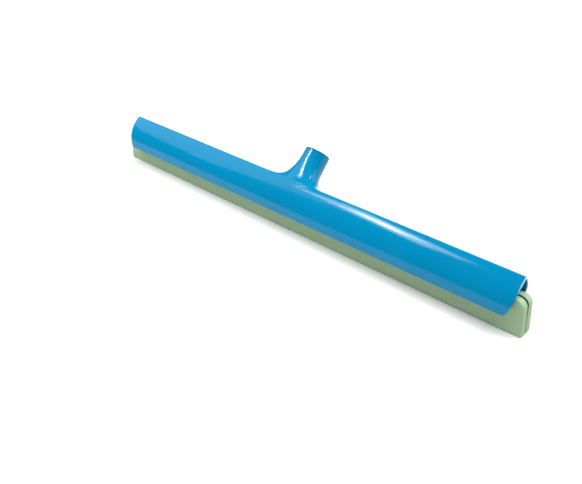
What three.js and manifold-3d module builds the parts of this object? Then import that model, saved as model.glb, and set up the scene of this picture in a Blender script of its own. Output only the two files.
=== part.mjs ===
// Floor squeegee head: a moulded hood with an integral handle socket, and a blade carrier that slides
// lengthwise out of it. The carrier is a T-shaped rail whose web stands between two foam blades; a clamp
// bar lies along the outside of each blade, and a row of rivets holds the sandwich together.
//
// Millimetres. X runs along the blades, Y from the front to the handle side, Z up from the blades' tips.
// The hood is drawn centred on x = 0, with the blades' tips at z = 0; the whole head is moved along X
// and Y at the end, so that the origin lies under the middle of its overall box.
import * as THREE from "three";
import Module from "manifold-3d";
import { mergeVertices } from "three/addons/utils/BufferGeometryUtils.js";

// ---- Driving dimensions ----

const gap = 0.3; // between pieces that touch
const runningGap = 0.4; // between the carrier and the track it slides in

// Hood
const hoodLength = 600;
const wall = 2;
const hoodBottom = 25.2;
const frontEdgeY = -15.8; // lower edge of the front wall, outside
const ridgeY = 8.6; // where the front and rear outer arcs would meet
const ridgeZ = 61.2;
const frontRadius = 50; // outer arc of the front wall
const ridgeRadius = 2.5; // rounding of the ridge
const rearY = 13.2; // outside of the upright part of the rear wall
const rearShoulderZ = 46; // where the rear wall starts to curve over to the ridge
const endArcRadius = 59; // the hood's ends curve inwards below endArcTop
const endArcTop = 53;
const endCorner = 4; // rounding of the lower corner at each end

// Handle socket
const socketLean = THREE.MathUtils.degToRad(47.2); // from upright
const mouthY = 51.35; // centre of the mouth
const mouthZ = 78.1;
const mouthRadius = 15.4;
const socketTaper = Math.tan(THREE.MathUtils.degToRad(1.5));
const rootDepth = 42.5; // from the mouth down the socket's upper side to the ridge
const rootSlope = 0.6; // extra depth of the root for each mm across the socket towards its underside
const rootOverlap = 5; // how far the socket runs on into the hood
const flareRadius = 36; // the socket flares sideways into the hood
const rimRounding = 1.2;
const boreRadius = 11.75;
const boreDepth = 42;
const boreChamfer = 0.9;

// Track inside the hood
const ledgeBottom = 43.3;
const ledgeTop = 45.9;
const ledgeLength = 576;
const stopThickness = 2.6; // wall that closes the track at the far left end

// Foam blades. Their left ends are cut aslant, so that the tip reaches further out than the top.
const bladeRightX = 308.4;
const bladeLeftTipX = -311.6;
const bladeLeftTopX = -306.6;
const bladeHeight = 42.2;
const bladeThickness = 7.3;
const bladeTopCorner = 8.5;
const bladeTipCorner = 2;
const bladeSpacing = 1.5; // clear width between the two blades
const packY = 1.45; // middle of the space between the blades

// Carrier rail
const carrierLength = 584;
const webThickness = 1;
const webBottom = 26;
const neckThickness = 2.4;
const headWidth = 8.6;
const headThickness = 2;

// Clamp bars
const barThickness = 1;
const barBottom = 27.5;
const barTop = 38;
const barCorner = 2.5;

// Rivets
const rivetCount = 12;
const rivetPitch = 50;
const shankRadius = 1.75;
const rivetHeadRadius = 3.2;
const rivetHeadHeight = 1.3;
const countersinkRadius = 2.6;
const flushDrop = 0.1; // the riveted end lies this far under the rear bar's face

// Steps in round outlines
const arcSteps = 5;
const socketSides = 48;
const flareSteps = 8;
const rimSteps = 3;
const domeSteps = 5;
const rivetSides = 16;

// ---- Derived sizes ----

const rearRun = rearY - ridgeY;
const rearRise = ridgeZ - rearShoulderZ;
const rearRadius = (rearRun ** 2 + rearRise ** 2) / (2 * rearRun);
const rearCentre = new THREE.Vector2(rearY - rearRadius, rearShoulderZ);
const frontEdge = new THREE.Vector2(frontEdgeY, hoodBottom);
const frontCentre = circleCentre(frontEdge, new THREE.Vector2(ridgeY, ridgeZ), frontRadius);

const neckTop = ledgeTop + runningGap;
const frontBladeY = packY - bladeSpacing / 2 - bladeThickness / 2;
const rearBladeY = packY + bladeSpacing / 2 + bladeThickness / 2;
const frontBarY = frontBladeY - bladeThickness / 2 - gap - barThickness / 2;
const rearBarY = rearBladeY + bladeThickness / 2 + gap + barThickness / 2;
const rivetZ = (barBottom + barTop) / 2;
const rivetHoleRadius = shankRadius + gap;
const rivetXs = Array.from({ length: rivetCount }, (_, i) => (i - (rivetCount - 1) / 2) * rivetPitch);
const cutMargin = 2; // how far a cutting solid runs past what it cuts
const weldDistance = 1e-4; // corners of a mesh nearer than this are one corner

const wasm = await Module();
wasm.setup();

// ---- Geometry helpers ----

// Centre of the circle through a and b that lies to the right of the way from a to b.
function circleCentre(a, b, radius) {
  const half = a.distanceTo(b) / 2;
  const along = b.clone().sub(a).normalize();
  const right = new THREE.Vector2(along.y, -along.x);
  return a.clone().lerp(b, 0.5).addScaledVector(right, Math.sqrt(radius ** 2 - half ** 2));
}

// The upper point that is radiusA from a and radiusB from b.
function meetingPoint(a, radiusA, b, radiusB) {
  const distance = a.distanceTo(b);
  const along = (radiusA ** 2 - radiusB ** 2 + distance ** 2) / (2 * distance);
  const across = Math.sqrt(radiusA ** 2 - along ** 2);
  const direction = b.clone().sub(a).normalize();
  const side = new THREE.Vector2(-direction.y, direction.x);
  const up = side.y > 0 ? side : side.negate();
  return a.clone().addScaledVector(direction, along).addScaledVector(up, across);
}

function angleFrom(centre, point) {
  return Math.atan2(point.y - centre.y, point.x - centre.x);
}

// Angle on the front wall's arcs at height z, on the front side of their centre.
function frontAngle(radius, z) {
  return Math.PI - Math.asin((z - frontCentre.y) / radius);
}

// A section drawn in (y, z), extruded along X and centred on x = 0.
function prismAlongX(section, length) {
  const geometry = new THREE.ExtrudeGeometry(section, {
    depth: length,
    bevelEnabled: false,
    curveSegments: arcSteps,
  });
  geometry.translate(0, 0, -length / 2);
  const toYZ = new THREE.Matrix4().makeBasis(
    new THREE.Vector3(0, 1, 0),
    new THREE.Vector3(0, 0, 1),
    new THREE.Vector3(1, 0, 0),
  );
  return geometry.applyMatrix4(toYZ);
}

// An outline drawn in (x, z), extruded along Y and centred on y.
function slabAlongY(outline, y, thickness) {
  const geometry = new THREE.ExtrudeGeometry(outline, {
    depth: thickness,
    bevelEnabled: false,
    curveSegments: arcSteps,
  });
  geometry.rotateX(Math.PI / 2);
  return geometry.translate(0, y + thickness / 2, 0);
}

// A box from its lowest and highest corners.
function boxBetween(low, high) {
  const [dx, dy, dz] = high.map((value, i) => value - low[i]);
  const geometry = new THREE.BoxGeometry(dx, dy, dz);
  return geometry.translate(low[0] + dx / 2, low[1] + dy / 2, low[2] + dz / 2);
}

// A solid turned about an axis along Y, from [radius, y] pairs in order of rising y.
function turned(profile, sides) {
  return new THREE.LatheGeometry(
    profile.map(([radius, y]) => new THREE.Vector2(radius, y)),
    sides,
  );
}

function toSolid(geometry) {
  const bare = geometry.clone();
  bare.deleteAttribute("normal");
  bare.deleteAttribute("uv");
  const welded = mergeVertices(bare, weldDistance);
  return new wasm.Manifold(
    new wasm.Mesh({
      numProp: 3,
      vertProperties: welded.attributes.position.array,
      triVerts: new Uint32Array(welded.index.array),
    }),
  );
}

function toGeometry(solid) {
  const mesh = solid.getMesh();
  const geometry = new THREE.BufferGeometry();
  geometry.setAttribute("position", new THREE.BufferAttribute(mesh.vertProperties, 3));
  geometry.setIndex(new THREE.BufferAttribute(mesh.triVerts, 1));
  geometry.computeVertexNormals();
  return geometry;
}

// ---- Hood ----

// Section of the hood, inset by a distance from its outside: an upright rear wall, an arc over to the
// ridge, and the front arc. It runs past the hood's lower edge, where the outline trims it.
function hoodSection(inset) {
  const front = frontRadius - inset;
  const rear = rearRadius - inset;
  const floor = hoodBottom - cutMargin;
  const section = new THREE.Shape();
  section.moveTo(rearY - inset, floor);
  section.lineTo(rearY - inset, rearShoulderZ);
  const ridge = meetingPoint(frontCentre, front, rearCentre, rear);
  let rearEnd = angleFrom(rearCentre, ridge);
  let frontStart = angleFrom(frontCentre, ridge);
  if (inset === 0) {
    const rounding = meetingPoint(frontCentre, front - ridgeRadius, rearCentre, rear - ridgeRadius);
    rearEnd = angleFrom(rearCentre, rounding);
    frontStart = angleFrom(frontCentre, rounding);
    section.absarc(rearCentre.x, rearCentre.y, rear, 0, rearEnd, false);
    section.absarc(rounding.x, rounding.y, ridgeRadius, rearEnd, frontStart, false);
  } else {
    section.absarc(rearCentre.x, rearCentre.y, rear, 0, rearEnd, false);
  }
  section.absarc(frontCentre.x, frontCentre.y, front, frontStart, frontAngle(front, floor), false);
  return section;
}

// The hood seen from the front: upright at the top of each end, curving inwards below endArcTop, with
// rounded lower corners.
function hoodOutline() {
  const half = hoodLength / 2;
  const centreX = half - endArcRadius;
  const top = mouthZ + mouthRadius;
  const cornerZ = hoodBottom + endCorner;
  const dropAngle = Math.asin((endArcTop - cornerZ) / (endArcRadius - endCorner));
  const cornerX = centreX + (endArcRadius - endCorner) * Math.cos(dropAngle);
  const straightDown = Math.PI * 1.5;
  const outline = new THREE.Shape();
  outline.moveTo(-half, top);
  outline.lineTo(-half, endArcTop);
  outline.absarc(-centreX, endArcTop, endArcRadius, Math.PI, Math.PI + dropAngle, false);
  outline.absarc(-cornerX, cornerZ, endCorner, Math.PI + dropAngle, straightDown, false);
  outline.absarc(cornerX, cornerZ, endCorner, straightDown, 2 * Math.PI - dropAngle, false);
  outline.absarc(centreX, endArcTop, endArcRadius, 2 * Math.PI - dropAngle, 2 * Math.PI, false);
  outline.lineTo(half, top);
  return outline;
}

// Radius of the socket at a depth along its axis, without its flare.
function socketRadius(depth) {
  return mouthRadius + depth * socketTaper;
}

// Places a piece turned about Y so that its axis is the socket's, with y = 0 at the mouth.
function alongSocket(geometry) {
  const out = new THREE.Vector3(0, Math.sin(socketLean), Math.cos(socketLean));
  const up = new THREE.Vector3(0, -out.z, out.y);
  const place = new THREE.Matrix4().makeBasis(new THREE.Vector3(1, 0, 0), out, up);
  place.setPosition(0, mouthY, mouthZ);
  return geometry.applyMatrix4(place);
}

// The socket's outside: round at the mouth, flaring sideways into the hood. The root leans with the
// hood's back: height runs from -1 at the socket's underside to 1 at its upper side.
function socketBody() {
  const flareStart = rootDepth - flareRadius;
  const end = rootDepth + rootOverlap;
  const profile = [
    [0, -end],
    [socketRadius(end), -end],
  ];
  for (let i = flareSteps; i >= 0; i--) {
    const depth = flareStart + flareRadius * Math.sin((i / flareSteps) * (Math.PI / 2));
    profile.push([socketRadius(depth), -depth]);
  }
  for (let i = 0; i <= rimSteps; i++) {
    const angle = (i / rimSteps) * (Math.PI / 2);
    profile.push([
      mouthRadius - rimRounding * (1 - Math.cos(angle)),
      -rimRounding * (1 - Math.sin(angle)),
    ]);
  }
  profile.push([0, 0]);
  const geometry = turned(profile, socketSides);
  const position = geometry.attributes.position;
  for (let i = 0; i < position.count; i++) {
    const depth = -position.getY(i);
    const radius = socketRadius(depth);
    const height = position.getZ(i) / radius;
    const run = THREE.MathUtils.clamp(depth - flareStart, 0, flareRadius);
    const flare = flareRadius - Math.sqrt(flareRadius ** 2 - run ** 2);
    const leaning = THREE.MathUtils.clamp((depth - rimRounding) / (flareStart - rimRounding), 0, 1);
    position.setX(i, (position.getX(i) * (radius + flare)) / radius);
    position.setY(i, -depth - leaning * rootSlope * radius * (1 - height));
  }
  return alongSocket(geometry);
}

// The handle's bore, blind, with a chamfered mouth.
function handleBore() {
  const profile = [
    [0, -boreDepth],
    [boreRadius, -boreDepth],
    [boreRadius, -boreChamfer],
    [boreRadius + boreChamfer, 0],
    [boreRadius + boreChamfer, cutMargin],
    [0, cutMargin],
  ];
  return alongSocket(turned(profile, socketSides));
}

// The track's two ledges, which the rail's head hangs on, and the wall that stops the rail at the left.
function trackParts() {
  const slot = neckThickness / 2 + runningGap;
  const half = ledgeLength / 2;
  const stopX = -carrierLength / 2 - runningGap;
  return [
    boxBetween([-half, frontEdgeY, ledgeBottom], [half, packY - slot, ledgeTop]),
    boxBetween([-half, packY + slot, ledgeBottom], [half, rearY, ledgeTop]),
    boxBetween([stopX - stopThickness, frontEdgeY, ledgeBottom], [stopX, rearY, ridgeZ]),
  ];
}

function hood() {
  const overLength = hoodLength + 2 * cutMargin;
  const block = toSolid(prismAlongX(hoodSection(0), overLength));
  const withinWall = toSolid(prismAlongX(hoodSection(wall / 2), overLength));
  const hollow = toSolid(prismAlongX(hoodSection(wall), overLength + 2 * cutMargin));
  const depth = mouthY + mouthRadius - frontEdgeY + 2 * cutMargin;
  const middleY = (mouthY + mouthRadius + frontEdgeY) / 2;
  const outline = toSolid(slabAlongY(hoodOutline(), middleY, depth));
  let solid = block.add(toSolid(socketBody())).subtract(hollow);
  for (const piece of trackParts()) {
    solid = solid.add(withinWall.intersect(toSolid(piece)));
  }
  return toGeometry(solid.subtract(toSolid(handleBore())).intersect(outline));
}

// ---- Blade carrier ----

// A row of round holes along Y, one at each rivet.
function withRivetHoles(solid, profile) {
  let drilled = solid;
  for (const x of rivetXs) {
    drilled = drilled.subtract(toSolid(turned(profile, rivetSides).translate(x, 0, rivetZ)));
  }
  return drilled;
}

function plainHole(y, thickness) {
  const reach = thickness / 2 + cutMargin;
  return [
    [0, y - reach],
    [rivetHoleRadius, y - reach],
    [rivetHoleRadius, y + reach],
    [0, y + reach],
  ];
}

// T-section: a thin web between the blades, a neck through the track's slot, and a head on its ledges.
function carrierRail() {
  const web = webThickness / 2;
  const neck = neckThickness / 2;
  const head = headWidth / 2;
  const neckBottom = bladeHeight + gap;
  const section = new THREE.Shape([
    new THREE.Vector2(packY - web, webBottom),
    new THREE.Vector2(packY + web, webBottom),
    new THREE.Vector2(packY + web, neckBottom),
    new THREE.Vector2(packY + neck, neckBottom),
    new THREE.Vector2(packY + neck, neckTop),
    new THREE.Vector2(packY + head, neckTop),
    new THREE.Vector2(packY + head, neckTop + headThickness),
    new THREE.Vector2(packY - head, neckTop + headThickness),
    new THREE.Vector2(packY - head, neckTop),
    new THREE.Vector2(packY - neck, neckTop),
    new THREE.Vector2(packY - neck, neckBottom),
    new THREE.Vector2(packY - web, neckBottom),
  ]);
  const rail = toSolid(prismAlongX(section, carrierLength));
  return toGeometry(withRivetHoles(rail, plainHole(packY, webThickness)));
}

// Outline in (x, z) with its own radius for the lower and the upper corners. Its right end is upright,
// and its left end runs from leftBottom to leftTop.
function roundedOutline(leftBottom, leftTop, rightX, bottom, top, lowerCorner, upperCorner) {
  const right = Math.PI * 0.5;
  const outline = new THREE.Shape();
  outline.moveTo(leftBottom + lowerCorner, bottom);
  outline.absarc(rightX - lowerCorner, bottom + lowerCorner, lowerCorner, -right, 0, false);
  outline.absarc(rightX - upperCorner, top - upperCorner, upperCorner, 0, right, false);
  outline.absarc(leftTop + upperCorner, top - upperCorner, upperCorner, right, 2 * right, false);
  outline.absarc(leftBottom + lowerCorner, bottom + lowerCorner, lowerCorner, 2 * right, 3 * right, false);
  return outline;
}

function blade(y) {
  const outline = roundedOutline(
    bladeLeftTipX, bladeLeftTopX, bladeRightX, 0, bladeHeight, bladeTipCorner, bladeTopCorner,
  );
  const slab = toSolid(slabAlongY(outline, y, bladeThickness));
  return toGeometry(withRivetHoles(slab, plainHole(y, bladeThickness)));
}

function clampBar(y, holeProfile) {
  const half = carrierLength / 2;
  const outline = roundedOutline(-half, -half, half, barBottom, barTop, barCorner, barCorner);
  return toGeometry(withRivetHoles(toSolid(slabAlongY(outline, y, barThickness)), holeProfile));
}

// The rear bar's holes are countersunk, so that the rivets' ends lie flush and clear the hood.
function countersunkHole() {
  const outside = rearBarY + barThickness / 2;
  const sinkDepth = countersinkRadius - shankRadius;
  const sinkRadius = countersinkRadius + gap;
  return [
    [0, outside - barThickness - cutMargin],
    [rivetHoleRadius, outside - barThickness - cutMargin],
    [rivetHoleRadius, outside - sinkDepth],
    [sinkRadius, outside],
    [sinkRadius, outside + cutMargin],
    [0, outside + cutMargin],
  ];
}

// Domed head in front, shank through the sandwich, flush countersunk end behind.
function rivet() {
  const seat = frontBarY - barThickness / 2 - gap;
  const end = rearBarY + barThickness / 2 - flushDrop;
  const profile = [];
  for (let i = 0; i <= domeSteps; i++) {
    const angle = (i / domeSteps) * (Math.PI / 2);
    profile.push([rivetHeadRadius * Math.sin(angle), seat - rivetHeadHeight * Math.cos(angle)]);
  }
  profile.push([shankRadius, seat]);
  profile.push([shankRadius, end - (countersinkRadius - shankRadius)]);
  profile.push([countersinkRadius, end]);
  profile.push([0, end]);
  return turned(profile, rivetSides);
}

// ---- Materials ----

const bluePlastic = { color: 0x1792cf, roughness: 0.28, metalness: 0 };
const greyPlastic = { color: 0x3f4341, roughness: 0.5, metalness: 0 };
const greenFoam = { color: 0x93ad84, roughness: 0.9, metalness: 0 };
const steel = { color: 0xb9bcbe, roughness: 0.35, metalness: 1 };

function namedMesh(name, geometry, finish) {
  const mesh = new THREE.Mesh(geometry, new THREE.MeshStandardMaterial(finish));
  mesh.name = name;
  return mesh;
}

// ---- Assembly ----

function carrier() {
  const group = new THREE.Group();
  group.add(
    namedMesh("carrier_rail", carrierRail(), greyPlastic),
    namedMesh("front_blade", blade(frontBladeY), greenFoam),
    namedMesh("rear_blade", blade(rearBladeY), greenFoam),
    namedMesh("front_clamp_bar", clampBar(frontBarY, plainHole(frontBarY, barThickness)), steel),
    namedMesh("rear_clamp_bar", clampBar(rearBarY, countersunkHole()), steel),
  );
  rivetXs.forEach((x, i) => {
    const piece = namedMesh("rivet_" + String(i + 1).padStart(2, "0"), rivet(), steel);
    piece.position.set(x, 0, rivetZ);
    group.add(piece);
  });
  return group;
}

const head = new THREE.Group();
head.add(namedMesh("hood", hood(), bluePlastic), carrier());
const overall = new THREE.Box3().setFromObject(head);
head.position.x = -(overall.min.x + overall.max.x) / 2;
head.position.y = -(overall.min.y + overall.max.y) / 2;

export default head;
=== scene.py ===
"""Looks of the floor squeegee head: a glossy blue hood with a handle socket over a double foam blade.

Lengths are in millimetres in the section drawings and in metres on the meshes. The hood's section is drawn
in (y, z) as in the CAD part, and moved along Y with it.
"""

import math

import bmesh
import bpy
import numpy as np
from mathutils import Matrix, Vector


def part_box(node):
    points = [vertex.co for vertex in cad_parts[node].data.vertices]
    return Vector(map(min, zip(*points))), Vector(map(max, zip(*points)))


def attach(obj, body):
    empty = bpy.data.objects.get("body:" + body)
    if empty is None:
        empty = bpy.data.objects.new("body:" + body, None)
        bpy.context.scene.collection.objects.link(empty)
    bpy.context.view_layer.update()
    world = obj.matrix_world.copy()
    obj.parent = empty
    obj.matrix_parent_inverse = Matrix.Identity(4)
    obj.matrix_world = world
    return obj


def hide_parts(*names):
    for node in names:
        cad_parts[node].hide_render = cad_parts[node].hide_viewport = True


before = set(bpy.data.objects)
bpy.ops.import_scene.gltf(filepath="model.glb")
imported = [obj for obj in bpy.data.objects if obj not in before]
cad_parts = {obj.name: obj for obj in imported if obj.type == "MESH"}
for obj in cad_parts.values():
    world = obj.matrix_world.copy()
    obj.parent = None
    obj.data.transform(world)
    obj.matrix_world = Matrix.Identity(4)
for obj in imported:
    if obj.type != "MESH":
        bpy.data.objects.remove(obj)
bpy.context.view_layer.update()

MM = 0.001

# ---- Dimensions from the CAD part, in millimetres ----

HOOD_LENGTH = 600
WALL = 2
HOOD_BOTTOM = 25.2
FRONT_EDGE_Y = -15.8
RIDGE = np.array([8.6, 61.2])
FRONT_RADIUS = 50
RIDGE_RADIUS = 2.5
REAR_Y = 13.2
REAR_SHOULDER_Z = 46
END_ARC_RADIUS = 59
END_ARC_TOP = 53
END_CORNER = 4
LEDGE_BOTTOM = 43.3
LEDGE_TOP = 45.9
LEDGE_LENGTH = 576
STOP_X = -292.4
STOP_THICKNESS = 2.6
SLOT_HALF_WIDTH = 1.6
PACK_Y = 1.45
BLADE_RIGHT_X = 308.4
BLADE_LEFT_TIP_X = -311.6
BLADE_LEFT_TOP_X = -306.6
BLADE_HEIGHT = 42.2
BLADE_THICKNESS = 7.3
BLADE_TOP_CORNER = 8.5
BLADE_TIP_CORNER = 2
BLADE_SPACING = 1.5

SOCKET_LEAN = math.radians(47.2)
MOUTH = np.array([0, 51.35, 78.1])
MOUTH_RADIUS = 15.4
SOCKET_TAPER = math.tan(math.radians(1.5))
ROOT_SLOPE = 0.6  # extra depth of the flare for each mm across the socket towards its underside
FLARE_START = 6.5
FLARE_RADIUS = 36
RIM_ROUNDING = 1.2
BORE_RADIUS = 11.75
BORE_DEPTH = 42
BORE_CHAMFER = 0.9

# ---- Detail sizes, in millimetres ----

SECTION_CENTRE = np.array([2.0, 38.0])  # a point inside the hood from which its section is traced
SECTION_POINTS = 150
FRONT_WALL_END = np.array([-19, 20])  # the walls are drawn past the hood's bottom, then cut off there
REAR_WALL_END = np.array([REAR_Y, 0])
EDGE_ROUNDING = 0.7
EDGE_STEPS = 5
LAST_STATION = 284  # the last row before the hood's ends
OUTER_STATIONS = 12
FAR = 110.0  # longer than any ray runs inside the hood or the socket
HALVINGS = 40
WELD = 1e-6  # points closer than this are joined, in metres

LEVEL_NORMAL = 0.99  # a face whose normal is steeper than this counts as level
CUT_TOLERANCE = 0.01

BLEND_WIDTH = 9  # width of the soft blend between hood and socket
BLEND_LEAST = 1  # its width where it has faded out
BLEND_GROWTH_Y = (2, 16)  # the blend grows from the front of the ridge to behind the rear wall
BLEND_FADE_X = (30, 68)  # and fades out sideways
PATCH_HALF_WIDTH = 72  # the part of the hood's outside that is drawn as one patch with the socket
PATCH_STEP = 2
PATCH_FRONT_Z = 57.5
ORIGIN_DEPTH = 62  # the patch is traced from this depth on the socket's axis
PATCH_TOP_DEPTH = 6  # and ends at this one
PATCH_RINGS = 80
RING_CROWDING = 1.5  # above 1, rings lie closer near the patch's border, where rays graze the rear wall
EVENING_OUT = (0.3, 0.95)  # the part of the way in which the rings' points get evenly spaced
STRAIGHT_DEPTHS = (4.5, 3, 2)  # depths of the rings between the patch and the rim
RIM_STEPS = 6
RIM_FLAT = 0.4  # flat width between the rim's rounding and the next ring
CHAMFER_FLAT = 0.3  # flat width between the chamfer and the ring outside it
CHAMFER_START = 0.1
BORE_STRAIGHT = 2  # depth of the bore's first ring past its chamfer

THREAD_PITCH = 5
THREAD_HEIGHT = 0.8
THREAD_START = 3
THREAD_END = BORE_DEPTH - 4
THREAD_STEP = 0.6
THREAD_FADE_IN = (THREAD_START, THREAD_START + 2)
THREAD_FADE_OUT = (THREAD_END - 3, THREAD_END)
CREST_FLANK = (0.18, 0.34)  # where a crest's flank starts and ends, as parts of the pitch
BORE_END_ROUNDING = 0.6

LEDGE_ROUNDING = 0.4
LEDGE_ROUNDING_STEPS = 3
STOP_SIDES = 48

FOAM_ROUNDING = 0.7
CORNER_STEPS = 12
FOAM_STEPS = 5
BLADE_SQUEEZE = 0.35  # how much thinner a blade is on its inner side where it is clamped
SQUEEZE_HEIGHTS = (8, 30)
BLADE_LEAN = 0.2  # how far the blades' tips lean towards each other
LEAN_HEIGHTS = (0, 30)

# ---- Colours and lengths in the materials ----

HOOD_BLUE = ((0.0, 0.218, 0.426), (0.0, 0.235, 0.449))
# a painted highlight along the upper part of the hood's end faces
PAINTED_END_HIGHLIGHT = (0.80, 0.88, 0.92)
# painted shade round the socket's rim
PAINTED_RIM_SHADE = (0.0, 0.08, 0.21)
FOAM_GREEN = ((0.352, 0.502, 0.308), (0.398, 0.556, 0.354))
# painted shade in the gap between the blades, darker higher up under the hood
PAINTED_GAP_SHADE = (0.02, 0.035, 0.018)
RAIL_GREY = ((0.05, 0.055, 0.05), (0.07, 0.075, 0.07))
STEEL_GREY = ((0.50, 0.50, 0.51), (0.66, 0.66, 0.66))
ALUMINIUM_GREY = ((0.68, 0.68, 0.69), (0.8, 0.8, 0.8))
FLOOR_WHITE = ((0.81, 0.81, 0.81), (0.83, 0.83, 0.83))

END_HIGHLIGHT_FADE = (HOOD_LENGTH / 2 - 0.9, HOOD_LENGTH / 2 - 0.3)  # distances from the hood's middle
END_HIGHLIGHT_HEIGHTS = (47, 56)
RIM_SHADE_DEPTH = 1.1  # middle of the band of painted shade round the socket's rim
RIM_SHADE_FADE = (0.6, 1.1)
GAP_FADE = (1.0, 1.5)  # distances from the middle of the gap between the blades
GAP_HEIGHTS = (23, 36)

# ---- Light and camera, in metres and degrees ----

FLOOR_SIZE = 30
WORLD_SEEN = 0.95  # how bright the world is where the camera sees it past the floor
WORLD_LIGHT = 0.06  # and how bright it is as a light
SUN_DIRECTION = (-0.16, 0.04, -0.98)
SUN_ENERGY = 2.9
SUN_SPREAD = 50
KEY_PLACE = Vector((-0.585, -0.565, 1.09))
LIGHT_TARGET = (0, 0, 0.05)  # the middle of the hood
# The key light has a hot centre: each smaller box stands a little nearer than the one round it.
KEY_BOXES = (  # name, nearness, width, height, radiance
    ("halo", 1, 0.48, 0.29, 8.5),
    ("middle", 0.99, 0.26, 0.17, 14),
    ("core", 0.98, 0.14, 0.06, 38),
)
CAMERA_PLACE = np.array([0.5662, -0.5361, 0.4954])
CAMERA_AZIMUTH = math.radians(46.77)
CAMERA_ELEVATION = math.radians(33.52)
CAMERA_ROLL = math.radians(-4.63)
CAMERA_LENS = 47.84
CAMERA_SENSOR = 36

# From the section drawings' place to the model's.
offset = np.array(
    [
        (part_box("hood")[0].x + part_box("hood")[1].x) / 2 / MM,
        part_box("front_blade")[0].y / MM - (PACK_Y - BLADE_SPACING / 2 - BLADE_THICKNESS),
        0,
    ]
)

# ---- The hood's section ----

FRONT_EDGE = np.array([FRONT_EDGE_Y, HOOD_BOTTOM])
HALF_CHORD = np.linalg.norm(RIDGE - FRONT_EDGE) / 2
ALONG_CHORD = (RIDGE - FRONT_EDGE) / (2 * HALF_CHORD)
TOWARDS_CENTRE = np.array([ALONG_CHORD[1], -ALONG_CHORD[0]])
CHORD_TO_CENTRE = math.sqrt(FRONT_RADIUS**2 - HALF_CHORD**2)
FRONT_CENTRE = (RIDGE + FRONT_EDGE) / 2 + TOWARDS_CENTRE * CHORD_TO_CENTRE
SHOULDER_DEPTH = REAR_Y - RIDGE[0]
SHOULDER_HEIGHT = RIDGE[1] - REAR_SHOULDER_Z
REAR_RADIUS = (SHOULDER_DEPTH**2 + SHOULDER_HEIGHT**2) / (2 * SHOULDER_DEPTH)
REAR_CENTRE = np.array([REAR_Y - REAR_RADIUS, REAR_SHOULDER_Z])


def hood_distance(y, z):
    """Signed distance from the hood's outside, negative within it, its lower edge left open."""
    front = np.hypot(y - FRONT_CENTRE[0], z - FRONT_CENTRE[1]) - FRONT_RADIUS
    arc = np.hypot(y - REAR_CENTRE[0], z - REAR_CENTRE[1]) - REAR_RADIUS
    rear = np.where(z > REAR_SHOULDER_Z, arc, y - REAR_Y)
    corner = np.hypot(np.maximum(front + RIDGE_RADIUS, 0), np.maximum(rear + RIDGE_RADIUS, 0))
    return np.minimum(-RIDGE_RADIUS, np.maximum(front, rear)) + corner


# ---- The socket ----

OUT = np.array([0, math.sin(SOCKET_LEAN), math.cos(SOCKET_LEAN)])  # along the socket, out of its mouth
ACROSS = np.array([0, -OUT[2], OUT[1]])  # from the socket's underside to its upper side


def smooth_step(value, low, high):
    """0 up to low, 1 from high on, and a smooth rise between them."""
    t = np.clip((value - low) / (high - low), 0, 1)
    return t * t * (3 - 2 * t)


def blended_distance(points):
    """Signed distance from hood and socket together, with the socket's flare and a soft blend between them.

    The flare starts deeper on the socket's underside than on its upper side, as the hood's back leans.
    """
    x = points[..., 0]
    from_mouth = points - MOUTH
    depth = -(from_mouth @ OUT)
    height = from_mouth @ ACROSS
    radius = MOUTH_RADIUS + SOCKET_TAPER * depth
    lean = ROOT_SLOPE * radius * (1 - np.clip(height / radius, -1, 1))
    run = np.clip(depth - lean - FLARE_START, 0, FLARE_RADIUS)
    flare = FLARE_RADIUS - np.sqrt(FLARE_RADIUS**2 - run**2)
    socket = np.hypot(x * radius / (radius + flare), height) - radius
    hood = hood_distance(points[..., 1], points[..., 2])
    behind_ridge = smooth_step(points[..., 1], *BLEND_GROWTH_Y)
    near_socket = 1 - smooth_step(np.abs(x), *BLEND_FADE_X)
    width = BLEND_LEAST + (BLEND_WIDTH - BLEND_LEAST) * behind_ridge * near_socket
    overlap = np.maximum(width - np.abs(socket - hood), 0)
    return np.minimum(socket, hood) - overlap**2 / (4 * width)


def reach(distance, origin, directions):
    """How far along each ray from the origin the distance function turns from negative to positive."""
    low = np.zeros(directions.shape[:-1])
    high = np.full(directions.shape[:-1], FAR)
    for _ in range(HALVINGS):
        middle = (low + high) / 2
        inside = distance(origin + directions * middle[..., None]) < 0
        low = np.where(inside, middle, low)
        high = np.where(inside, high, middle)
    return (low + high) / 2


# ---- Mesh helpers ----


def make_object(name, vertices, faces, smooth=True):
    """A mesh object from points in section millimetres."""
    mesh = bpy.data.meshes.new(name)
    placed = (np.asarray(vertices, float) + offset) * MM
    mesh.from_pydata([tuple(v) for v in placed], [], faces)
    mesh.validate()
    obj = bpy.data.objects.new(name, mesh)
    bpy.context.scene.collection.objects.link(obj)
    work = bmesh.new()
    work.from_mesh(mesh)
    bmesh.ops.remove_doubles(work, verts=work.verts, dist=WELD)
    bmesh.ops.recalc_face_normals(work, faces=work.faces)
    work.to_mesh(mesh)
    work.free()
    if smooth:
        mesh.shade_smooth()
    else:
        mesh.shade_flat()
    return obj


def strip(faces, first, second, closed=False):
    """Quads between two rows of vertex numbers."""
    count = len(first)
    for i in range(count if closed else count - 1):
        j = (i + 1) % count
        faces.append((first[i], first[j], second[j], second[i]))


# ---- Hood with its socket ----


def traced(inset, centre, rays):
    """Points of the hood's section, moved in by an inset, along rays from a point inside it."""

    def distance(p):
        return hood_distance(p[..., 0], p[..., 1]) + inset

    return centre + rays * reach(distance, centre, rays)[:, None]


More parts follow.
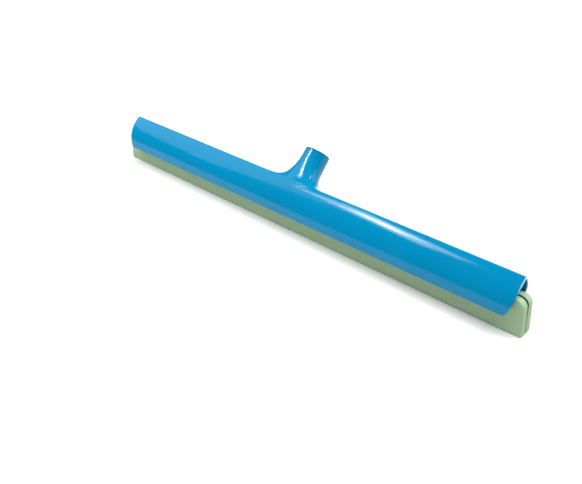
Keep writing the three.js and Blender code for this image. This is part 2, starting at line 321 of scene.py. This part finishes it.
def section_points():
    """Outer and inner points of the hood's section, paired, from the front wall's end to the rear wall's."""
    to_front = FRONT_WALL_END - SECTION_CENTRE
    to_rear = REAR_WALL_END - SECTION_CENTRE
    front = math.atan2(to_front[1], to_front[0]) % (2 * math.pi)
    rear = math.atan2(to_rear[1], to_rear[0])
    angles = np.linspace(front, rear, SECTION_POINTS)
    rays = np.stack([np.cos(angles), np.sin(angles)], axis=-1)
    return traced(0, SECTION_CENTRE, rays), traced(WALL, SECTION_CENTRE, rays)


def end_x(z):
    """Half-length of the hood at height z: its ends curve inwards below END_ARC_TOP, with a soft corner."""
    corner_z = HOOD_BOTTOM + END_CORNER
    inner_radius = END_ARC_RADIUS - END_CORNER
    arc_x = HOOD_LENGTH / 2 - END_ARC_RADIUS
    corner_x = arc_x + math.sqrt(inner_radius**2 - (END_ARC_TOP - corner_z) ** 2)
    tangent_z = END_ARC_TOP - (END_ARC_TOP - corner_z) * END_ARC_RADIUS / inner_radius
    if z > tangent_z:
        return arc_x + math.sqrt(END_ARC_RADIUS**2 - max(END_ARC_TOP - z, 0) ** 2)
    return corner_x + math.sqrt(END_CORNER**2 - min(corner_z - z, END_CORNER) ** 2)


def stations():
    """X of the rows across the hood, without the rounded rows at its ends."""
    patch = np.arange(-PATCH_HALF_WIDTH, PATCH_HALF_WIDTH + 1, PATCH_STEP)
    outer = np.linspace(PATCH_HALF_WIDTH, LAST_STATION, OUTER_STATIONS)[1:]
    return np.concatenate([-outer[::-1], patch, outer])


def end_rows(outer, inner):
    """Rows (inset from the end, outer points, inner points) that round the edges of the hood's end."""
    middle = (outer + inner) / 2
    half = (outer - inner) / 2
    length = np.linalg.norm(half, axis=1)[:, None]
    rows = []
    for step in range(EDGE_STEPS + 1):
        angle = step / EDGE_STEPS * math.pi / 2
        drop = EDGE_ROUNDING * (1 - math.cos(angle))
        inset = EDGE_ROUNDING * (1 - math.sin(angle))
        shrunk = half * (1 - drop / length)
        rows.append((inset, middle + shrunk, middle - shrunk))
    return rows


def hood_and_socket():
    """Vertices and faces of the hood's shell with its socket, both walls down past the hood's bottom."""
    outer, inner = section_points()
    ends = end_rows(outer, inner)
    vertices = []
    faces = []

    def add(points):
        start = len(vertices)
        vertices.extend(points)
        return list(range(start, start + len(points)))

    outer_rows = []
    inner_rows = []

    def add_row(x_of, outside, inside):
        outer_rows.append(add([(x_of(z), y, z) for y, z in outside]))
        inner_rows.append(add([(x_of(z), y, z) for y, z in inside]))

    for inset, outside, inside in reversed(ends):
        add_row(lambda z, inset=inset: -end_x(z) + inset, outside, inside)
    for x in stations():
        add_row(lambda z, x=x: x, outer, inner)
    for inset, outside, inside in ends:
        add_row(lambda z, inset=inset: end_x(z) - inset, outside, inside)

    patch_start = int(np.argmax(outer[:, 1] > PATCH_FRONT_Z))
    first = len(ends) + OUTER_STATIONS - 1
    last = first + 2 * PATCH_HALF_WIDTH // PATCH_STEP
    for i in range(len(outer_rows) - 1):
        outer_a, outer_b = outer_rows[i], outer_rows[i + 1]
        inner_a, inner_b = inner_rows[i], inner_rows[i + 1]
        drawn = patch_start + 1 if first <= i < last else len(outer_a)
        strip(faces, outer_a[:drawn], outer_b[:drawn])
        strip(faces, inner_a, inner_b)
        for k in (0, -1):
            faces.append((outer_a[k], outer_b[k], inner_b[k], inner_a[k]))
    for row in (0, -1):
        strip(faces, outer_rows[row], inner_rows[row])

    # The patch's border, once round: along the front, down the right, back along the bottom, up the left.
    border = [outer_rows[i][patch_start] for i in range(first, last)]
    border += outer_rows[last][patch_start:-1]
    border += [outer_rows[i][-1] for i in range(last, first, -1)]
    border += outer_rows[first][:patch_start:-1]
    socket_rings(vertices, faces, add, border)
    return vertices, faces


def socket_rings(vertices, faces, add, border):
    """Rings from the patch's border over the blend and up the socket, round its rim and down its bore."""
    origin = MOUTH - OUT * ORIGIN_DEPTH
    sides = len(border)
    corners = np.array([vertices[i] for i in border]) - origin
    forward = corners @ OUT
    sideways = corners[:, 0]
    upward = corners @ ACROSS
    turn = np.unwrap(np.arctan2(upward, sideways))
    tilt = np.arctan2(np.hypot(sideways, upward), forward)
    direction = 1 if turn[-1] > turn[0] else -1
    even = turn[0] + direction * 2 * math.pi * np.arange(sides) / sides
    even += np.mean(turn - even)
    top_radius = MOUTH_RADIUS + SOCKET_TAPER * PATCH_TOP_DEPTH
    top_tilt = math.atan2(top_radius, ORIGIN_DEPTH - PATCH_TOP_DEPTH)
    previous = border
    for ring in range(1, PATCH_RINGS + 1):
        t = (ring / PATCH_RINGS) ** RING_CROWDING
        mix = smooth_step(t, *EVENING_OUT)
        theta = turn * (1 - mix) + even * mix
        phi = tilt * (1 - t) + top_tilt * t
        rays = (
            np.cos(phi)[:, None] * OUT
            + (np.sin(phi) * np.sin(theta))[:, None] * ACROSS
            + (np.sin(phi) * np.cos(theta))[:, None] * np.array([1, 0, 0])
        )
        points = origin + rays * reach(blended_distance, origin, rays)[:, None]
        current = add([tuple(p) for p in points])
        strip(faces, previous, current, closed=True)
        previous = current

    around = np.cos(even)[:, None] * np.array([1, 0, 0]) + np.sin(even)[:, None] * ACROSS

    def next_ring(depth, radii):
        points = MOUTH - OUT * depth + around * np.broadcast_to(radii, sides)[:, None]
        current = add([tuple(p) for p in points])
        strip(faces, previous, current, closed=True)
        return current

    profile = [(depth, MOUTH_RADIUS + SOCKET_TAPER * depth) for depth in STRAIGHT_DEPTHS]
    for step in range(RIM_STEPS + 1):
        angle = step / RIM_STEPS * math.pi / 2
        depth = RIM_ROUNDING * (1 - math.sin(angle))
        profile.append((depth, MOUTH_RADIUS - RIM_ROUNDING * (1 - math.cos(angle))))
    inner_edge = BORE_RADIUS + BORE_CHAMFER
    profile.append((0, MOUTH_RADIUS - RIM_ROUNDING - RIM_FLAT))
    profile.append((0, inner_edge + CHAMFER_FLAT))
    profile.append((CHAMFER_START, inner_edge))
    profile.append((BORE_CHAMFER, BORE_RADIUS))
    profile.append((BORE_STRAIGHT, BORE_RADIUS))
    for depth, radius in profile:
        previous = next_ring(depth, radius)
    for depth in np.arange(THREAD_START, THREAD_END, THREAD_STEP):
        phase = (depth / THREAD_PITCH - direction * even / (2 * math.pi)) % 1
        crest = smooth_step(0.5 - np.abs(phase - 0.5), *CREST_FLANK)
        begun = smooth_step(depth, *THREAD_FADE_IN)
        ended = smooth_step(depth, *THREAD_FADE_OUT)
        previous = next_ring(depth, BORE_RADIUS - THREAD_HEIGHT * crest * begun * (1 - ended))
    previous = next_ring(BORE_DEPTH - BORE_END_ROUNDING, BORE_RADIUS)
    previous = next_ring(BORE_DEPTH, BORE_RADIUS - BORE_END_ROUNDING)
    faces.append(tuple(previous))


def lies_in_cut(face, height):
    """True for a level face at the height of the cut, in metres."""
    level = abs(face.normal.z) > LEVEL_NORMAL
    return level and face.calc_center_median().z < height + CUT_TOLERANCE * MM


def cut_level(obj, height):
    """Cuts away what lies below a height and closes the mesh there."""
    work = bmesh.new()
    work.from_mesh(obj.data)
    bmesh.ops.bisect_plane(
        work,
        geom=work.verts[:] + work.edges[:] + work.faces[:],
        dist=WELD,
        plane_co=(0, 0, height),
        plane_no=(0, 0, 1),
        clear_inner=True,
    )
    open_edges = [edge for edge in work.edges if edge.is_boundary]
    bmesh.ops.holes_fill(work, edges=open_edges, sides=0)
    bmesh.ops.recalc_face_normals(work, faces=work.faces)
    for edge in work.edges:
        in_cut = [lies_in_cut(face, height) for face in edge.link_faces]
        if len(in_cut) == 2 and in_cut[0] != in_cut[1]:
            edge.smooth = False
    work.to_mesh(obj.data)
    work.free()


def build_hood():
    """The hood's shell with its socket, cut off level at the hood's bottom."""
    vertices, faces = hood_and_socket()
    obj = make_object("hood_shell", vertices, faces)
    cut_level(obj, HOOD_BOTTOM * MM)
    return obj


def box_with_rounded_edges(name, low, high, radius):
    """A bar between two corners, its edges rounded."""
    work = bmesh.new()
    bmesh.ops.create_cube(work, size=1)
    size = np.subtract(high, low)
    centre = np.add(high, low) / 2
    for vertex in work.verts:
        vertex.co = Vector((np.array(vertex.co) * size + centre + offset) * MM)
    bmesh.ops.bevel(
        work,
        geom=work.edges[:],
        offset=radius * MM,
        segments=LEDGE_ROUNDING_STEPS,
        profile=0.5,
        affect="EDGES",
    )
    mesh = bpy.data.meshes.new(name)
    work.to_mesh(mesh)
    work.free()
    mesh.shade_smooth()
    obj = bpy.data.objects.new(name, mesh)
    bpy.context.scene.collection.objects.link(obj)
    return obj


def inside_wall(z, side):
    """Y of the middle of the wall at height z, on the front (-1) or the rear (1)."""
    centre = np.array([PACK_Y, z])
    rays = np.array([[side, 0.0]])
    return traced(WALL / 2, centre, rays)[0][0]


def build_track_stop():
    """The wall across the track at the left end, from the ledges up to the hood's roof."""
    centre = np.array([PACK_Y, LEDGE_BOTTOM])
    angles = np.linspace(0, math.pi, STOP_SIDES)
    rays = np.stack([np.cos(angles), np.sin(angles)], axis=-1)
    outline = traced(WALL / 2, centre, rays)
    vertices = [(x, y, z) for x in (STOP_X - STOP_THICKNESS, STOP_X) for y, z in outline]
    left = list(range(STOP_SIDES))
    right = list(range(STOP_SIDES, 2 * STOP_SIDES))
    faces = [tuple(left), tuple(right)]
    strip(faces, left, right, closed=True)
    return make_object("track_stop", vertices, faces, smooth=False)


def build_track():
    """The two ledges that the carrier hangs on, and the stop wall at the left end."""
    half = LEDGE_LENGTH / 2
    middle = (LEDGE_BOTTOM + LEDGE_TOP) / 2
    front = inside_wall(middle, -1)
    rear = inside_wall(middle, 1)
    ledges = [
        box_with_rounded_edges(
            "track_ledge_front",
            (-half, front, LEDGE_BOTTOM),
            (half, PACK_Y - SLOT_HALF_WIDTH, LEDGE_TOP),
            LEDGE_ROUNDING,
        ),
        box_with_rounded_edges(
            "track_ledge_rear",
            (-half, PACK_Y + SLOT_HALF_WIDTH, LEDGE_BOTTOM),
            (half, rear, LEDGE_TOP),
            LEDGE_ROUNDING,
        ),
    ]
    return ledges + [build_track_stop()]


# ---- Foam blades ----


def blade_outline(inset):
    """The blade's outline in (x, z), inset by a distance, anticlockwise seen from the front."""
    tip, top = BLADE_TIP_CORNER, BLADE_TOP_CORNER
    corners = [
        (BLADE_RIGHT_X - tip, tip, tip, -90),
        (BLADE_RIGHT_X - top, BLADE_HEIGHT - top, top, 0),
        (BLADE_LEFT_TOP_X + top, BLADE_HEIGHT - top, top, 90),
        (BLADE_LEFT_TIP_X + tip, tip, tip, 180),
    ]
    points = []
    for x, z, radius, start in corners:
        for step in range(CORNER_STEPS + 1):
            angle = math.radians(start + step / CORNER_STEPS * 90)
            inset_radius = radius - inset
            points.append((x + inset_radius * math.cos(angle), z + inset_radius * math.sin(angle)))
    return points


def blade_profile():
    """Rings of a blade from its -y face to its +y face: y from its middle, and the outline's inset."""
    half = BLADE_THICKNESS / 2
    outwards = range(FOAM_STEPS + 1)
    rings = []
    for side, steps in ((-1, outwards), (1, reversed(outwards))):
        for step in steps:
            angle = step / FOAM_STEPS * math.pi / 2
            across = side * (half - FOAM_ROUNDING * (1 - math.cos(angle)))
            inset = FOAM_ROUNDING * (1 - math.sin(angle))
            rings.append((across, inset))
    return rings


def build_blade(name, y, inward):
    """A foam slab with softened edges, squeezed a little thinner on its inner side where the bars clamp it.

    inward is 1 if the other blade lies towards +y, and -1 if it lies towards -y. The tip leans inward.
    """
    vertices = []
    faces = []
    rings = []
    for across, inset in blade_profile():
        ring = []
        for x, z in blade_outline(inset):
            lean = inward * BLADE_LEAN * (1 - smooth_step(z, *LEAN_HEIGHTS))
            on_inner_side = inward * across > 0
            squeeze = inward * BLADE_SQUEEZE * smooth_step(z, *SQUEEZE_HEIGHTS) * on_inner_side
            ring.append(len(vertices))
            vertices.append((x, y + across + lean - squeeze, z))
        rings.append(ring)
    for first, second in zip(rings, rings[1:]):
        strip(faces, first, second, closed=True)
    faces.append(tuple(rings[0]))
    faces.append(tuple(rings[-1]))
    return make_object(name, vertices, faces)


# ---- Materials ----

COLOUR_A = 6  # the colour sockets of a Mix node, whose names are shared with its other kinds
COLOUR_B = 7
MIXED_COLOUR = 2


def node(tree, kind, **settings):
    """A shader node with its properties and unlinked inputs set by name."""
    made = tree.nodes.new(kind)
    for key, value in settings.items():
        if key in made.inputs:
            made.inputs[key].default_value = value
        else:
            setattr(made, key, value)
    return made


def start_material(name):
    """A new material with its node tree, its shader and a node that gives the place on the piece."""
    material = bpy.data.materials.new(name)
    material.use_nodes = True
    tree = material.node_tree
    shader = tree.nodes["Principled BSDF"]
    coordinates = node(tree, "ShaderNodeTexCoord")
    return material, tree, shader, coordinates


def noise(tree, coordinates, scale, detail=3.0, stretch=(1, 1, 1)):
    """Noise in object space, stretched by a different amount along each axis."""
    mapping = node(tree, "ShaderNodeMapping")
    mapping.inputs["Scale"].default_value = stretch
    texture = node(tree, "ShaderNodeTexNoise", Scale=scale, Detail=detail)
    tree.links.new(coordinates.outputs["Object"], mapping.inputs["Vector"])
    tree.links.new(mapping.outputs["Vector"], texture.inputs["Vector"])
    return texture.outputs["Fac"]


def colour_between(tree, factor, low, high):
    """A colour that runs from low to high with the middle part of a noise."""
    ramp = node(tree, "ShaderNodeValToRGB")
    ramp.color_ramp.elements[0].position = 0.3
    ramp.color_ramp.elements[1].position = 0.7
    ramp.color_ramp.elements[0].color = (*low, 1)
    ramp.color_ramp.elements[1].color = (*high, 1)
    tree.links.new(factor, ramp.inputs["Fac"])
    return ramp.outputs["Color"]


def value_between(tree, factor, low, high, start=0.3, end=0.7):
    """A value that runs from low to high as the factor runs from start to end."""
    made = node(tree, "ShaderNodeMapRange")
    made.inputs["From Min"].default_value = start
    made.inputs["From Max"].default_value = end
    made.inputs["To Min"].default_value = low
    made.inputs["To Max"].default_value = high
    tree.links.new(factor, made.inputs["Value"])
    return made.outputs["Result"]


def fade(tree, length, low, high, limits):
    """A value that runs from low to high as a length goes from one limit to the other, in millimetres."""
    start, end = limits
    return value_between(tree, length, low, high, start * MM, end * MM)


def mixed(tree, factor, colour, other):
    """A colour that turns into another as the factor goes from 0 to 1."""
    made = node(tree, "ShaderNodeMix", data_type="RGBA")
    tree.links.new(factor, made.inputs["Factor"])
    tree.links.new(colour, made.inputs[COLOUR_A])
    made.inputs[COLOUR_B].default_value = (*other, 1)
    return made.outputs[MIXED_COLOUR]


def product(tree, one, other):
    """Two values multiplied."""
    made = node(tree, "ShaderNodeMath", operation="MULTIPLY")
    tree.links.new(one, made.inputs[0])
    tree.links.new(other, made.inputs[1])
    return made.outputs["Value"]


def distance_from(tree, value, centre):
    """How far a value lies from a centre, on either side."""
    difference = node(tree, "ShaderNodeMath", operation="SUBTRACT")
    tree.links.new(value, difference.inputs[0])
    difference.inputs[1].default_value = centre
    absolute = node(tree, "ShaderNodeMath", operation="ABSOLUTE")
    tree.links.new(difference.outputs["Value"], absolute.inputs[0])
    return absolute.outputs["Value"]


def bump(tree, height, distance, strength, after=None):
    """A normal bent by a height, on top of an earlier one if there is one."""
    made = node(tree, "ShaderNodeBump", Distance=distance, Strength=strength)
    tree.links.new(height, made.inputs["Height"])
    if after is not None:
        tree.links.new(after, made.inputs["Normal"])
    return made.outputs["Normal"]


def hood_plastic():
    """Glossy moulded plastic: faint flow waves, fine orange peel, a painted highlight on the upper part of
    the ends, painted shade round the socket's rim.
    """
    material, tree, shader, where = start_material("hood_blue_plastic")
    clouds = noise(tree, where, scale=18)
    blue = colour_between(tree, clouds, *HOOD_BLUE)
    apart = node(tree, "ShaderNodeSeparateXYZ")
    tree.links.new(where.outputs["Object"], apart.inputs["Vector"])
    # Painted highlight: the upper part of the hood's end faces turns pale.
    from_middle = distance_from(tree, apart.outputs["X"], offset[0] * MM)
    at_end = fade(tree, from_middle, low=0, high=1, limits=END_HIGHLIGHT_FADE)
    high_up = fade(tree, apart.outputs["Z"], low=0, high=0.7, limits=END_HIGHLIGHT_HEIGHTS)
    blue = mixed(tree, product(tree, at_end, high_up), blue, PAINTED_END_HIGHLIGHT)
    # Painted shade: a darker band round the socket's rim.
    outward = node(tree, "ShaderNodeVectorMath", operation="DOT_PRODUCT")
    tree.links.new(where.outputs["Object"], outward.inputs[0])
    outward.inputs[1].default_value = OUT
    band = ((MOUTH + offset) @ OUT - RIM_SHADE_DEPTH) * MM
    from_band = distance_from(tree, outward.outputs["Value"], band)
    on_rim_shade = fade(tree, from_band, low=0.75, high=0, limits=RIM_SHADE_FADE)
    blue = mixed(tree, on_rim_shade, blue, PAINTED_RIM_SHADE)
    tree.links.new(blue, shader.inputs["Base Color"])
    scuffs = noise(tree, where, scale=160, detail=5.0, stretch=(0.25, 1, 1))
    tree.links.new(value_between(tree, scuffs, low=0.07, high=0.11), shader.inputs["Roughness"])
    shader.inputs["IOR"].default_value = 1.5
    shader.inputs["Specular IOR Level"].default_value = 0.24
    waves = noise(tree, where, scale=90, detail=1.0, stretch=(0.06, 1, 1))
    peel = noise(tree, where, scale=700, detail=2.0)
    waved = bump(tree, waves, distance=0.0008, strength=0.1)
    normal = bump(tree, peel, distance=0.0001, strength=0.1, after=waved)
    tree.links.new(normal, shader.inputs["Normal"])
    return material


def foam_green():
    """Fine closed-cell foam: mottled and matt, with small open pores, and painted shade in the gap between
    blades.
    """
    material, tree, shader, where = start_material("foam_green")
    mottle = noise(tree, where, scale=900, detail=4.0)
    green = colour_between(tree, mottle, *FOAM_GREEN)
    apart = node(tree, "ShaderNodeSeparateXYZ")
    tree.links.new(where.outputs["Object"], apart.inputs["Vector"])
    # Painted shade: darker in the gap between the blades, most so near the top under the hood.
    from_gap = distance_from(tree, apart.outputs["Y"], (PACK_Y + offset[1]) * MM)
    gap_shade = fade(tree, from_gap, low=1, high=0, limits=GAP_FADE)
    high_up = fade(tree, apart.outputs["Z"], low=0.1, high=1, limits=GAP_HEIGHTS)
    green = mixed(tree, product(tree, gap_shade, high_up), green, PAINTED_GAP_SHADE)
    tree.links.new(green, shader.inputs["Base Color"])
    shader.inputs["Roughness"].default_value = 0.95
    shader.inputs["Specular IOR Level"].default_value = 0.25
    cells = node(tree, "ShaderNodeTexVoronoi", Scale=2400.0)
    tree.links.new(where.outputs["Object"], cells.inputs["Vector"])
    coarse = noise(tree, where, scale=1000)
    uneven = bump(tree, coarse, distance=0.0002, strength=0.25)
    normal = bump(tree, cells.outputs["Distance"], distance=0.00015, strength=0.35, after=uneven)
    tree.links.new(normal, shader.inputs["Normal"])
    return material


def rail_plastic():
    """Extruded plastic: dark grey with fine draw lines along its length."""
    material, tree, shader, where = start_material("rail_grey_plastic")
    lines = noise(tree, where, scale=1500, detail=2.0, stretch=(0.01, 1, 1))
    tree.links.new(colour_between(tree, lines, *RAIL_GREY), shader.inputs["Base Color"])
    tree.links.new(value_between(tree, lines, low=0.4, high=0.55), shader.inputs["Roughness"])
    tree.links.new(bump(tree, lines, distance=0.0001, strength=0.3), shader.inputs["Normal"])
    return material


def brushed_steel():
    """Stainless strip, brushed along its length."""
    material, tree, shader, where = start_material("bar_brushed_steel")
    lines = noise(tree, where, scale=2500, stretch=(0.02, 1, 1))
    tree.links.new(colour_between(tree, lines, *STEEL_GREY), shader.inputs["Base Color"])
    shader.inputs["Metallic"].default_value = 1
    tree.links.new(value_between(tree, lines, low=0.24, high=0.42), shader.inputs["Roughness"])
    tree.links.new(bump(tree, lines, distance=0.00005, strength=0.4), shader.inputs["Normal"])
    return material


def rivet_aluminium():
    """Aluminium with small dents from the riveting tool."""
    material, tree, shader, where = start_material("rivet_aluminium")
    dents = noise(tree, where, scale=900, detail=2.0)
    tree.links.new(colour_between(tree, dents, *ALUMINIUM_GREY), shader.inputs["Base Color"])
    shader.inputs["Metallic"].default_value = 1
    tree.links.new(value_between(tree, dents, low=0.28, high=0.45), shader.inputs["Roughness"])
    tree.links.new(bump(tree, dents, distance=0.0003, strength=0.3), shader.inputs["Normal"])
    return material


def floor_paint():
    """Pale matt backdrop."""
    material, tree, shader, where = start_material("floor_pale")
    clouds = noise(tree, where, scale=3)
    tree.links.new(colour_between(tree, clouds, *FLOOR_WHITE), shader.inputs["Base Color"])
    shader.inputs["Roughness"].default_value = 0.9
    shader.inputs["Specular IOR Level"].default_value = 0.1
    return material


def finish_piece(obj, material):
    """Gives a piece one material."""
    obj.data.materials.clear()
    obj.data.materials.append(material)


# ---- Floor, light and camera ----


def lay_floor():
    """A wide level floor that only the picture shows."""
    bpy.ops.mesh.primitive_plane_add(size=FLOOR_SIZE, location=(0, 0, 0))
    floor = bpy.context.object
    floor.name = "floor"
    finish_piece(floor, floor_paint())


def studio_world():
    """A dark studio, pale only where it is seen past the end of the floor."""
    world = bpy.data.worlds.new("studio")
    world.use_nodes = True
    tree = world.node_tree
    path = node(tree, "ShaderNodeLightPath")
    brightness = value_between(tree, path.outputs["Is Camera Ray"], WORLD_LIGHT, WORLD_SEEN, 0, 1)
    tree.links.new(brightness, tree.nodes["Background"].inputs["Strength"])
    tree.nodes["Background"].inputs["Color"].default_value = (1, 1, 1, 1)
    return world


def place_light(data, direction):
    """A light object that shines in a direction."""
    light = bpy.data.objects.new(data.name, data)
    bpy.context.scene.collection.objects.link(light)
    light.rotation_mode = "QUATERNION"
    light.rotation_quaternion = direction.to_track_quat("-Z", "Y")
    return light


def softbox(name, position, target, width, height, radiance):
    """A rectangular area light at position, facing target, with its width level."""
    data = bpy.data.lights.new(name, "AREA")
    data.shape = "RECTANGLE"
    data.size = width
    data.size_y = height
    data.energy = radiance * math.pi * width * height
    light = place_light(data, Vector(target) - Vector(position))
    light.location = position


def overhead_sun():
    """A broad light from above that brightens surfaces without showing in their reflections."""
    data = bpy.data.lights.new("overhead", "SUN")
    data.energy = SUN_ENERGY
    data.angle = math.radians(SUN_SPREAD)
    light = place_light(data, Vector(SUN_DIRECTION))
    light.visible_glossy = False


def place_camera():
    """The camera, which sees the squeegee from its front right, above."""
    data = bpy.data.cameras.new("camera")
    camera = bpy.data.objects.new("camera", data)
    bpy.context.scene.collection.objects.link(camera)
    data.lens = CAMERA_LENS
    data.sensor_width = CAMERA_SENSOR
    camera.matrix_world = (
        Matrix.Translation(Vector(CAMERA_PLACE + offset * MM))
        @ Matrix.Rotation(CAMERA_AZIMUTH, 4, "Z")
        @ Matrix.Rotation(math.pi / 2 - CAMERA_ELEVATION, 4, "X")
        @ Matrix.Rotation(CAMERA_ROLL, 4, "Z")
    )
    bpy.context.scene.camera = camera


# ---- Assembly ----

hood_material = hood_plastic()
hood = build_hood()
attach(hood, "hood")
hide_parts("hood")
finish_piece(hood, hood_material)
for piece in build_track():
    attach(piece, "hood")
    finish_piece(piece, hood_material)

foam_material = foam_green()
blade_offset = (BLADE_SPACING + BLADE_THICKNESS) / 2
for name, side in (("front_blade", -1), ("rear_blade", 1)):
    slab = build_blade(name + "_foam", PACK_Y + side * blade_offset, -side)
    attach(slab, "carrier")
    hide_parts(name)
    finish_piece(slab, foam_material)

steel = brushed_steel()
aluminium = rivet_aluminium()
rail = rail_plastic()
for name, cad_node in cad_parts.items():
    if name.startswith("rivet"):
        finish_piece(cad_node, aluminium)
    elif name.endswith("clamp_bar"):
        finish_piece(cad_node, steel)
    elif name == "carrier_rail":
        finish_piece(cad_node, rail)

lay_floor()
bpy.context.scene.view_settings.view_transform = "Standard"
bpy.context.scene.world = studio_world()
overhead_sun()
softbox("left_front", (-1.27, -0.49, 0.98), LIGHT_TARGET, width=0.95, height=0.85, radiance=1.5)
for part, nearness, width, height, radiance in KEY_BOXES:
    softbox("key_" + part, KEY_PLACE * nearness, LIGHT_TARGET, width, height, radiance)
softbox("front_spot", (0.83, 0.40, 1.99), (0, 0, 0), width=0.30, height=0.26, radiance=45)
softbox("right_rear", (1.3, 1.4, 1.0), (0, 0, 0), width=1.4, height=1.2, radiance=1.8)
place_camera()
